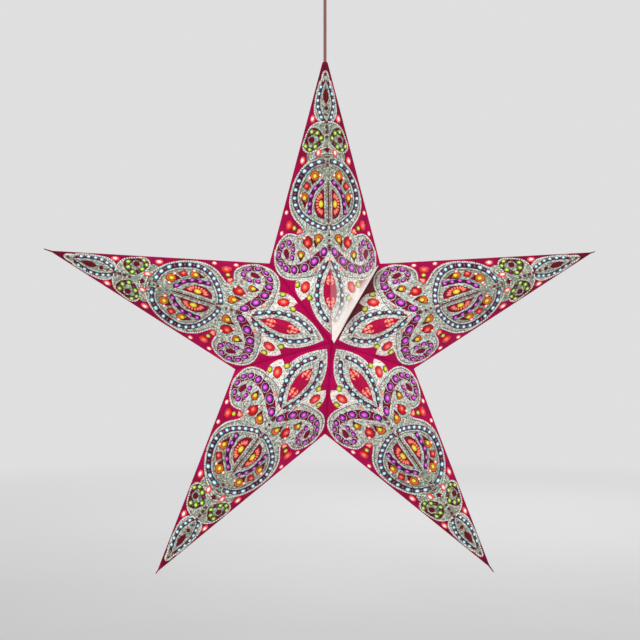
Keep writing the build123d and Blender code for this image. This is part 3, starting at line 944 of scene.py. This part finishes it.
def bright_lines():
    """Outlines of all the bright lines of glitter on half an arm's face."""
    lines = [glitter_line(outline, -LINE_INSET) for outline in EDGED_OUTLINES]
    for row, half_width in BEAD_ROWS:
        lines += [glitter_line(row, half_width), glitter_line(row, -half_width)]
    lines.append(glitter_line(MEDALLION_GEM_PATH, GEM_LINE_OFFSET))
    offsets = [width + SCROLL_LINE_GAP for width in SCROLL_GEM_WIDTHS[1:9]]
    lines.append(band(beside(SCROLL_GEM_PATH[1:9], offsets), LINE_HALF_WIDTH))
    lines.append(band(SCROLL_INNER_LINE, INNER_LINE_HALF_WIDTH))
    lines.append(band(RIDGE_EDGE, RIDGE_EDGE_HALF_WIDTH))
    lines.append(band(DROP_EDGE, LINE_HALF_WIDTH))
    return lines


def walk(path, step):
    """Places at even steps along a smooth path through its points."""
    knots = [Vector(point[:2]) for point in path]
    spots = [knots[0]]
    for index, (first, last) in enumerate(zip(knots, knots[1:])):
        reach = (last - first).length * HANDLE_SHARE
        leave = (last - knots[max(index - 1, 0)]).normalized() * reach
        arrive = (knots[min(index + 2, len(knots) - 1)] - first).normalized() * reach
        spots += interpolate_bezier(first, first + leave, last - arrive, last, POINTS_A_STEP)[1:]
    places = []
    ahead = step / 2
    for start, end in zip(spots, spots[1:]):
        length = (end - start).length
        while ahead <= length:
            places.append(start.lerp(end, ahead / length))
            ahead += step
        ahead -= length
    return places


def edge_beads():
    """Places of the tiny beads along the bright lines, short of the ridge."""
    places = []
    for outline in BEADED_OUTLINES:
        line = shifted(outline, -LINE_INSET)
        places += [(p.x, p.y, EDGE_BEAD_SIZE, EDGE_BEAD_SIZE, 0) for p in walk(line, EDGE_BEAD_STEP)]
    return [place for place in places if place[1] > EDGE_BEAD_SIZE / 2]


def grown(outline, margin):
    """An outline moved outward from its own middle by a margin."""
    middle = sum((Vector(point[:2]) for point in outline), Vector((0.0, 0.0))) / len(outline)
    ring = []
    for point in outline:
        out = Vector(point[:2]) - middle
        moved = middle + out + out.normalized() * margin
        ring.append((moved.x, max(moved.y, 0.0), *point[2:]))
    return ring


def model_gem(sides):
    """One bead, two units across and one high: a short rim under a low dome.

    The attribute called dome tells how far in from the rim each point is."""
    deselect_all()
    bpy.ops.mesh.primitive_circle_add(vertices=sides, radius=1.0, fill_type="NGON")
    gem = bpy.context.object
    bpy.ops.object.mode_set(mode="EDIT")
    bpy.ops.mesh.extrude_region_move(TRANSFORM_OT_translate={"value": (0.0, 0.0, GEM_RIM)})
    for inward, upward in GEM_STEPS:
        bpy.ops.mesh.inset(thickness=inward)
        bpy.ops.transform.translate(value=(0.0, 0.0, upward))
    bpy.ops.mesh.poke(offset=GEM_PEAK)
    bpy.ops.mesh.select_all(action="SELECT")
    bpy.ops.mesh.normals_make_consistent(inside=False)
    bpy.ops.object.mode_set(mode="OBJECT")
    bpy.ops.object.shade_smooth_by_angle(angle=math.radians(50.0))
    dome = gem.data.attributes.new("dome", "FLOAT", "POINT")
    for vertex, value in zip(gem.data.vertices, dome.data):
        value.value = max(0.0, 1.0 - vertex.co.xy.length)
    return gem


def set_gems(gem, places, name, height, margin):
    """Copies the bead to every place on half an arm's face and joins the copies."""
    copies = []
    for along, aside, length, width, turn in places:
        copy = new_object(name, gem.data.copy())
        size = ((length + margin) / 2 * MM, (width + margin) / 2 * MM, height * MM, 1.0)
        turned = Matrix.Rotation(math.radians(turn), 4, "Z")
        moved = Matrix.Translation((along * MM, aside * MM, GEM_FOOT * MM))
        copy.data.transform(moved @ turned @ Matrix.Diagonal(size))
        copies.append(copy)
    return join_pieces(copies, name)


# Laying the flat ornament on the folded arms
def facet_falls(sizes):
    """How fast a facet falls back along the arm and aside from the ridge."""
    notch_along = sizes.notch_radius * math.cos(HALF_STEP)
    notch_aside = sizes.notch_radius * math.sin(HALF_STEP)
    fall_along = sizes.half_depth / sizes.tip_radius
    fall_aside = sizes.half_depth * (1.0 - notch_along / sizes.tip_radius) / notch_aside
    return fall_along, fall_aside


def facet_matrix(sizes, bearing, side, face):
    """Carries the flat drawing to one facet: side is 1 against the clock, face is 1 on the front."""
    turn = math.radians(bearing)
    outward = Vector((math.cos(turn), 0.0, math.sin(turn)))
    aside = Vector((-math.sin(turn), 0.0, math.cos(turn))) * side
    front = Vector((0.0, -1.0, 0.0)) * face
    fall_along, fall_aside = facet_falls(sizes)
    along_column = outward - front * fall_along
    aside_column = aside - front * fall_aside
    normal = (front + outward * fall_along + aside * fall_aside).normalized()
    start = Vector(STAR_MIDDLE) + front * sizes.half_depth
    matrix = Matrix.Identity(4)
    for column, vector in enumerate((along_column, aside_column, normal, start)):
        for row in range(3):
            matrix[row][column] = vector[row]
    return matrix


def flap_matrix(sizes):
    """Carries the flat drawing to the lifted loose corner, keeping its place as seen from the front."""
    flat = facet_matrix(sizes, ARM_BEARINGS["top"], -1, 1)
    points = [Vector((a * MM, b * MM, 1.0)) for a, b in (*FLAP_FOLD, FLAP_CORNER)]
    depths = [-(flat @ Vector((p.x, p.y, 0.0))).y for p in points[:2]]
    depths.append(sizes.half_depth + FLAP_LIFT * MM)
    plane = Matrix(points).inverted() @ Vector(depths)
    matrix = flat.copy()
    matrix[1][0] = -plane.x
    matrix[1][1] = -plane.y
    matrix[1][3] = -plane.z
    normal = matrix.col[0].xyz.cross(matrix.col[1].xyz).normalized()
    if normal.y > 0:
        normal = -normal
    for row in range(3):
        matrix[row][2] = normal[row]
    return matrix


def on_flap(along, aside):
    """True on the loose corner's side of the fold; metres."""
    (a0, b0), (a1, b1) = FLAP_FOLD
    return (a1 - a0) * (aside / MM - b0) - (b1 - b0) * (along / MM - a0) > 0.0


def kept(share):
    """A share kept between 0 and 1."""
    return min(1.0, max(0.0, share))


def wash_at(along, aside):
    """How far the lamp's painted light washes out the print beside the loose edge; metres."""
    along, aside = along / MM, aside / MM
    from_seam = along * math.sin(HALF_STEP) - aside * math.cos(HALF_STEP)
    up_seam = along * math.cos(HALF_STEP) + aside * math.sin(HALF_STEP)
    for (start, solid, reach), (end, next_solid, next_reach) in zip(WASH_STEPS, WASH_STEPS[1:]):
        share = kept((up_seam - start) / (end - start))
        if up_seam <= end or end == WASH_STEPS[-1][0]:
            solid += (next_solid - solid) * share
            reach += (next_reach - reach) * share
            break
    near_edge = kept(1.0 - (from_seam - solid) / (reach - solid))
    veil = WASH_VEIL * kept((VEIL_END - along) / VEIL_RUN)
    return veil + (1.0 - veil) * near_edge


def crease_at_fold(piece):
    """Cuts a flat piece along the fold of the loose corner, and along lines that carry the wash."""
    make_active(piece)
    bpy.ops.object.mode_set(mode="EDIT")
    (a0, b0), (a1, b1) = FLAP_FOLD
    cuts = [((a0 * MM, b0 * MM, 0.0), (b1 - b0, a0 - a1, 0.0))]
    seam_normal = (math.sin(HALF_STEP), -math.cos(HALF_STEP), 0.0)
    for reach in WASH_CUTS_IN:
        cuts.append((Vector(seam_normal) * reach * MM, seam_normal))
    for along in WASH_CUTS_ALONG:
        cuts.append((Vector((along * MM, 0.0, 0.0)), (1.0, 0.0, 0.0)))
    for place, normal in cuts:
        bpy.ops.mesh.select_all(action="SELECT")
        bpy.ops.mesh.bisect(plane_co=place, plane_no=normal)
    bpy.ops.object.mode_set(mode="OBJECT")


def lay_on_flap_facet(piece, sizes):
    """Lays a flat piece on the top arm's right-hand front facet, bent along the fold, with its wash of
    painted light.
    """
    flat = facet_matrix(sizes, ARM_BEARINGS["top"], -1, 1)
    lifted = flap_matrix(sizes)
    wash = piece.data.attributes.new("wash", "FLOAT", "POINT")
    for vertex, value in zip(piece.data.vertices, wash.data):
        value.value = wash_at(vertex.co.x, vertex.co.y)
        matrix = lifted if on_flap(vertex.co.x, vertex.co.y) else flat
        vertex.co = matrix @ vertex.co
    if flat.determinant() < 0:
        piece.data.flip_normals()


def lay_on_facet(piece, matrix):
    """Carries a flat piece to a facet, with its faces still outward."""
    piece.data.transform(matrix)
    if matrix.determinant() < 0:
        piece.data.flip_normals()


def settle_print(template, sizes):
    """Draws a flat template in towards the star's middle, more where the paper stands forward."""
    fall_along, fall_aside = facet_falls(sizes)
    for vertex in template.data.vertices:
        forward = sizes.half_depth - fall_along * vertex.co.x - fall_aside * vertex.co.y
        vertex.co.xy *= 1.0 - PRINT_PULL * forward


def lay_on_arms(template, name, material, sizes, creased):
    """Copies a flat template to every arm's four facets, joins each arm's copies and finishes them."""
    settle_print(template, sizes)
    for arm_name, bearing in ARM_BEARINGS.items():
        stretch = Matrix.Diagonal((PRINT_STRETCH.get(arm_name, 1.0), 1.0, 1.0, 1.0))
        copies = []
        for side, face in ((1, 1), (1, -1), (-1, 1), (-1, -1)):
            copy = new_object(name, template.data.copy())
            copy.data.transform(stretch)
            if (arm_name, side, face) != ("top", -1, 1):
                lay_on_facet(copy, facet_matrix(sizes, bearing, side, face))
            else:
                if creased:
                    crease_at_fold(copy)
                lay_on_flap_facet(copy, sizes)
            copies.append(copy)
        finish_piece(join_pieces(copies, name + "_" + arm_name), material)
    bpy.data.objects.remove(template, do_unlink=True)


def lay_fields(fields, name, material, sizes):
    """Draws fields flat, joins them and lays them on the arms."""
    template = join_pieces([printed_field(outline, layer) for outline, layer in fields], name + "_flat")
    lay_on_arms(template, name, material, sizes, creased=True)


def lay_gems(gem, places, name, material, sizes, height=GEM_HEIGHT, margin=0.0):
    """Sets beads flat, joins them and lays them on the arms."""
    template = set_gems(gem, places, name + "_flat", height, margin)
    lay_on_arms(template, name, material, sizes, creased=False)


class STARLANTERN_OT_cord(bpy.types.Operator):
    """The straight cord from the lampholder up into the ceiling fitting"""

    bl_idname = "star_lantern.cord"
    bl_label = "Hang the cord"

    def execute(self, context):
        sizes = context.scene.star_sizes
        deselect_all()
        curve = bpy.data.curves.new("hanging_cord_sleeve", "CURVE")
        curve.dimensions = "3D"
        curve.resolution_u = 12
        curve.bevel_depth = sizes.cord_diameter / 2
        curve.bevel_resolution = 4
        curve.use_fill_caps = True
        heights = (CORD_LOW_Z, (CORD_LOW_Z + CORD_TOP_Z) / 2, CORD_TOP_Z)
        spline = curve.splines.new("NURBS")
        spline.points.add(len(heights) - 1)
        for point, height in zip(spline.points, heights):
            point.co = (0.0, 0.0, height, 1.0)
        spline.order_u = 3
        spline.use_endpoint_u = True
        cord = new_object("hanging_cord_sleeve", curve)
        finish_piece(cord, cord_finish(context.scene.star_colours))
        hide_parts("hanging_cord")
        return {"FINISHED"}


class STARLANTERN_OT_paper(bpy.types.Operator):
    """The magenta paper of the five folded arms"""

    bl_idname = "star_lantern.paper"
    bl_label = "Finish the paper"

    def execute(self, context):
        material = paper_finish(context.scene.star_colours)
        for arm_name in ARM_BEARINGS:
            give_material(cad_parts["arm_" + arm_name], material)
        return {"FINISHED"}


class STARLANTERN_OT_fields(bpy.types.Operator):
    """The silver bands and the printed fields of colour on every arm"""

    bl_idname = "star_lantern.fields"
    bl_label = "Print the fields"

    def execute(self, context):
        sizes = context.scene.star_sizes
        colours = context.scene.star_colours
        # Each glitter has a tone near the lamp and one towards the tips: the difference is painted lamp
        # light
        near, far, gap = (tuple(c) for c in (colours.silver, colours.silver_tip, colours.silver_gap))
        silver = silver_finish("silver_glitter", near, far, gap, 0.3)
        near, far, gap = paint(234, 236, 228), paint(206, 210, 198), paint(180, 170, 162)
        bright = silver_finish("bright_glitter", near, far, gap, 0.25)
        near, gap = paint(246, 242, 234), paint(228, 206, 200)
        pale = silver_finish("pale_glitter", near, near, gap, 0.36)
        shade = print_finish("shade_print", paint(128, 118, 108), 0.1)
        plum = print_finish("plum_print", paint(88, 20, 62), 0.1)
        maroon = print_finish("maroon_print", tuple(colours.maroon), 0.15)
        crimson = print_finish("crimson_print", tuple(colours.crimson), 0.2)
        magenta = print_finish("magenta_print", paint(196, 8, 74), 0.25)
        red = print_finish("red_print", paint(196, 26, 30), 0.25)
        amber = print_finish("amber_print", paint(232, 118, 40), 0.3)
        shades = [band(shifted(path, offset), SHADE_HALF_WIDTH) for path, offset in SHADED_PATHS]
        grounds = [band(path, half_width) for path, half_width in BEAD_GROUNDS]
        ambers = [grown(outline, -CELL_INSET) for outline in AMBER_CELLS]
        reds = [grown(outline, -CELL_INSET) for outline in RED_CELLS]
        darks = [grown(outline, CELL_RIM) for outline in ambers + reds + [SUNBURST]]
        darks += [band(DROP_BEAD_RING, DROP_GROUND_HALF_WIDTH), *CELL_TAILS]
        crimson_band = ribbon(SCROLL_GEM_PATH, SCROLL_GEM_WIDTHS)
        kinds = [
            ("silver_bands", silver, SILVER_FIELDS + [(grown(DROP_EYE, EYE_RIM), LINE)]),
            ("bright_lines", bright, [(outline, LINE) for outline in bright_lines()]),
            ("shade_lines", shade, [(outline, CHANNEL) for outline in shades]),
            ("pale_leaves", pale, [(SIDE_LEAF, LEAF)]),
            ("bead_grounds", plum, [(outline, CHANNEL) for outline in grounds]),
            ("crimson_bands", crimson, [(crimson_band, CHANNEL), (SCROLL_EYE, HEART), (SUNBURST, INLAY)]),
            ("maroon_eyes", maroon, MAROON_FIELDS + [(outline, CHANNEL) for outline in darks]),
            ("petal_eyes", magenta, [(PETAL_EYE, HEART)]),
            ("red_cells", red, [(outline, INLAY) for outline in reds]),
            ("amber_cells", amber, [(outline, INLAY) for outline in ambers]),
        ]
        for name, material, fields in kinds:
            lay_fields(fields, name, material, sizes)
        return {"FINISHED"}


class STARLANTERN_OT_beads(bpy.types.Operator):
    """The beads and gems on every arm"""

    bl_idname = "star_lantern.beads"
    bl_label = "Set the beads"

    def execute(self, context):
        sizes = context.scene.star_sizes
        gem = model_gem(GEM_SIDES)
        for name, places, tones, emission, edge, core in BEAD_KINDS:
            lay_gems(gem, places, name, gem_finish(name, tones, emission, edge, core), sizes)
        tiny = model_gem(TINY_SIDES)
        bright = gem_finish("edge_beads", EDGE_BEAD_TONES, 0.25, 0.05, 0.3)
        lay_gems(tiny, edge_beads(), "edge_beads", bright, sizes, EDGE_BEAD_HEIGHT)
        thread = gem_finish("ridge_twists", TWIST_TONES, 0.1, 0.05, 0.3)
        lay_gems(tiny, RIDGE_TWISTS, "ridge_twists", thread, sizes, EDGE_BEAD_HEIGHT)
        # Setting glitter, painted lighter near the lamp
        near, far, gap = paint(250, 246, 240), paint(220, 220, 212), paint(176, 150, 150)
        setting = silver_finish("setting_glitter", near, far, gap, 0.12)
        lay_gems(gem, SCROLL_GEMS, "settings", setting, sizes, SETTING_HEIGHT, SETTING_MARGIN)
        for model in (tiny, gem):
            bpy.data.objects.remove(model, do_unlink=True)
        return {"FINISHED"}


class STARLANTERN_OT_loose_corner(bpy.types.Operator):
    """The loose corner's paper washed out by the lamp's painted light, and the painted shade it leaves on
    the arm beside it
    """

    bl_idname = "star_lantern.loose_corner"
    bl_label = "Finish the loose corner"

    def execute(self, context):
        sizes = context.scene.star_sizes
        # The loose corner's skin carries the lamp's light as a painted white highlight
        skin_ring = (FLAP_FOLD[0], FLAP_FOOT, FLAP_CORNER, FLAP_FOLD[1])
        skin = printed_field([corner(*point) for point in skin_ring], FLAP_SKIN)
        skin.name = "loose_corner_paper"
        crease_at_fold(skin)
        lay_on_flap_facet(skin, sizes)
        finish_piece(skin, print_finish("loose_corner_paper", paint(190, 8, 84), 0.25))
        # A dark skin beside the loose corner: painted shade on the right arm
        seam_run = Vector((math.cos(HALF_STEP), math.sin(HALF_STEP)))
        seam_in = Vector((math.sin(HALF_STEP), -math.cos(HALF_STEP)))
        ring = [seam_run * along + seam_in * inward for along, inward in SHADE_RING]
        shade = printed_field([corner(*point) for point in ring], SHADE_SKIN)
        shade.name = "seam_shade"
        lay_on_facet(shade, facet_matrix(sizes, ARM_BEARINGS["right"], 1, 1))
        finish_piece(shade, print_finish("seam_shade", paint(132, 30, 54), 0.05))
        return {"FINISHED"}


class STARLANTERN_OT_fittings(bpy.types.Operator):
    """The finishes of the lampholder, the bulb and the ceiling fitting"""

    bl_idname = "star_lantern.fittings"
    bl_label = "Finish the fittings"

    def execute(self, context):
        plastic = moulded_finish("off_white_plastic", (0.72, 0.69, 0.62), 0.45, 2400.0)
        ceramic = moulded_finish("pale_ceramic", (0.80, 0.77, 0.70), 0.7, 5000.0)
        enamel = moulded_finish("off_white_enamel", (0.76, 0.74, 0.70), 0.3, 1200.0)
        block = moulded_finish("block_plastic", (0.80, 0.79, 0.74), 0.35, 3000.0)
        brass = metal_finish("plain_brass", (0.66, 0.45, 0.16), 0.32)
        steel = metal_finish("plated_steel", (0.58, 0.58, 0.58), 0.35)
        by_material = {
            plastic: ("holder_cap", "holder_grip", "holder_body", "ceiling_cord_grip"),
            ceramic: ("holder_core",),
            enamel: ("ceiling_cup",),
            block: ("terminal_block",),
            brass: ("screw_shell", "centre_contact", "terminal_screws", "ceiling_nipple"),
            steel: ("ceiling_bracket", "nipple_nut", "grip_screw"),
            bulb_finish(): ("bulb",),
        }
        for material, names in by_material.items():
            for name in names:
                give_material(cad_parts[name], material)
        return {"FINISHED"}


class STARLANTERN_OT_stage(bpy.types.Operator):
    """A plain pale floor, soft lights and the camera"""

    bl_idname = "star_lantern.stage"
    bl_label = "Set the stage"

    def execute(self, context):
        scene = context.scene
        stage = scene.star_stage
        set_floor(stage)
        set_lights()
        set_world(scene)
        set_camera(scene, stage)
        scene.view_settings.view_transform = "Standard"
        return {"FINISHED"}


def background_rays(tree):
    """1 for what the camera, shine and glass see of the background, 0 for the light it gives."""
    rays = tree.nodes.new("ShaderNodeLightPath").outputs
    seen = rays["Is Camera Ray"]
    for kind in ("Is Glossy Ray", "Is Transmission Ray"):
        either = tree.nodes.new("ShaderNodeMath")
        either.operation = "MAXIMUM"
        tree.links.new(seen, either.inputs[0])
        tree.links.new(rays[kind], either.inputs[1])
        seen = either.outputs["Value"]
    return seen


def set_floor(stage):
    """A wide pale disc under the star, which takes the room's own tone far away."""
    deselect_all()
    bpy.ops.mesh.primitive_circle_add(
        vertices=64, radius=9.0, fill_type="NGON", location=(0.0, 0.0, CAD_LOW.z - stage.floor_gap)
    )
    floor = bpy.context.object
    floor.name = "floor"
    finish = Finish("pale_floor")
    cloud = finish.span(finish.noise(1.5), 0.3, 0.7)
    tone = finish.mix(cloud, (0.70, 0.70, 0.70), ROOM_TONE)
    finish.set(Base_Color=tone, Roughness=0.9, Specular_IOR_Level=0.1)
    far = finish.span(finish.vector("LENGTH", finish.place), 0.8, 3.0)
    share = finish.number("MULTIPLY", far, background_rays(finish.tree))
    room = finish.add("ShaderNodeEmission", inputs={"Color": (*ROOM_TONE, 1.0), "Strength": 1.0})
    inputs = {0: share, 1: finish.shader.outputs["BSDF"], 2: room.outputs["Emission"]}
    mixer = finish.add("ShaderNodeMixShader", inputs=inputs)
    output = finish.tree.nodes["Material Output"]
    finish.tree.links.new(mixer.outputs["Shader"], output.inputs["Surface"])
    floor.data.materials.append(finish.material)


def set_lights():
    """Large soft lamps before, beside and behind the star."""
    # Name, place from the star's middle in metres, watts, and size in metres
    lamps = [
        ("key_light", (-1.2, -2.2, 1.0), 26.0, 1.6),
        ("fill_light", (1.8, -1.6, 0.9), 16.0, 1.6),
        ("back_light", (0.6, 2.2, 1.0), 24.0, 1.8),
    ]
    for name, offset, power, size in lamps:
        lamp = bpy.data.lights.new(name, "AREA")
        lamp.energy = power
        lamp.size = size
        holder = new_object(name, lamp)
        holder.location = Vector(STAR_MIDDLE) + Vector(offset)
        holder.rotation_euler = (-Vector(offset)).to_track_quat("-Z", "Y").to_euler()


def set_world(scene):
    """A pale room: seen as nearly white, and lighting the star softly."""
    world = bpy.data.worlds.new("pale_room")
    world.use_nodes = True
    tree = world.node_tree
    tree.nodes.clear()
    seen = tree.nodes.new("ShaderNodeBackground")
    seen.inputs["Color"].default_value = (*ROOM_TONE, 1.0)
    seen.inputs["Strength"].default_value = 1.0
    lighting = tree.nodes.new("ShaderNodeBackground")
    lighting.inputs["Color"].default_value = (1.0, 1.0, 1.0, 1.0)
    lighting.inputs["Strength"].default_value = 0.45
    mixer = tree.nodes.new("ShaderNodeMixShader")
    tree.links.new(background_rays(tree), mixer.inputs["Fac"])
    tree.links.new(lighting.outputs["Background"], mixer.inputs[1])
    tree.links.new(seen.outputs["Background"], mixer.inputs[2])
    output = tree.nodes.new("ShaderNodeOutputWorld")
    tree.links.new(mixer.outputs["Shader"], output.inputs["Surface"])
    scene.world = world


def set_camera(scene, stage):
    """The camera at the photograph's place, with the star's middle at its pixel."""
    data = bpy.data.cameras.new("camera")
    data.sensor_width = 36.0
    data.lens = stage.pixels_per_metre * stage.distance * data.sensor_width / IMAGE_PIXELS
    data.shift_x = (IMAGE_PIXELS / 2 - stage.middle_column) / IMAGE_PIXELS
    data.shift_y = (stage.middle_row - IMAGE_PIXELS / 2) / IMAGE_PIXELS
    camera = new_object("camera", data)
    level = math.cos(stage.elevation)
    back = Vector(
        (math.sin(stage.azimuth) * level, -math.cos(stage.azimuth) * level, math.sin(stage.elevation))
    )
    camera.location = Vector(STAR_MIDDLE) + back * stage.distance
    camera.rotation_euler = (-back).to_track_quat("-Z", "Y").to_euler()
    scene.camera = camera


class STARLANTERN_PT_panel(bpy.types.Panel):
    """The lantern's steps, in order"""

    bl_idname = "STARLANTERN_PT_panel"
    bl_label = "Star lantern"
    bl_space_type = "VIEW_3D"
    bl_region_type = "UI"
    bl_category = "Star lantern"

    def draw(self, context):
        for operator in OPERATORS:
            self.layout.operator(operator.bl_idname)
        for group in (context.scene.star_sizes, context.scene.star_colours, context.scene.star_stage):
            box = self.layout.box()
            for key in group.__annotations__:
                box.prop(group, key)


OPERATORS = (
    STARLANTERN_OT_cord,
    STARLANTERN_OT_paper,
    STARLANTERN_OT_fields,
    STARLANTERN_OT_beads,
    STARLANTERN_OT_loose_corner,
    STARLANTERN_OT_fittings,
    STARLANTERN_OT_stage,
)
CLASSES = (StarSizes, StarColours, StarStage, *OPERATORS, STARLANTERN_PT_panel)


def register():
    """Adds the classes and the scene's settings."""
    for cls in CLASSES:
        bpy.utils.register_class(cls)
    bpy.types.Scene.star_sizes = PointerProperty(type=StarSizes)
    bpy.types.Scene.star_colours = PointerProperty(type=StarColours)
    bpy.types.Scene.star_stage = PointerProperty(type=StarStage)


def unregister():
    """Takes them away again."""
    del bpy.types.Scene.star_stage
    del bpy.types.Scene.star_colours
    del bpy.types.Scene.star_sizes
    for cls in reversed(CLASSES):
        bpy.utils.unregister_class(cls)


def main():
    """Runs every step in order."""
    register()
    bpy.ops.star_lantern.cord()
    bpy.ops.star_lantern.paper()
    bpy.ops.star_lantern.fields()
    bpy.ops.star_lantern.beads()
    bpy.ops.star_lantern.loose_corner()
    bpy.ops.star_lantern.fittings()
    bpy.ops.star_lantern.stage()


if __name__ == "__main__":
    main()
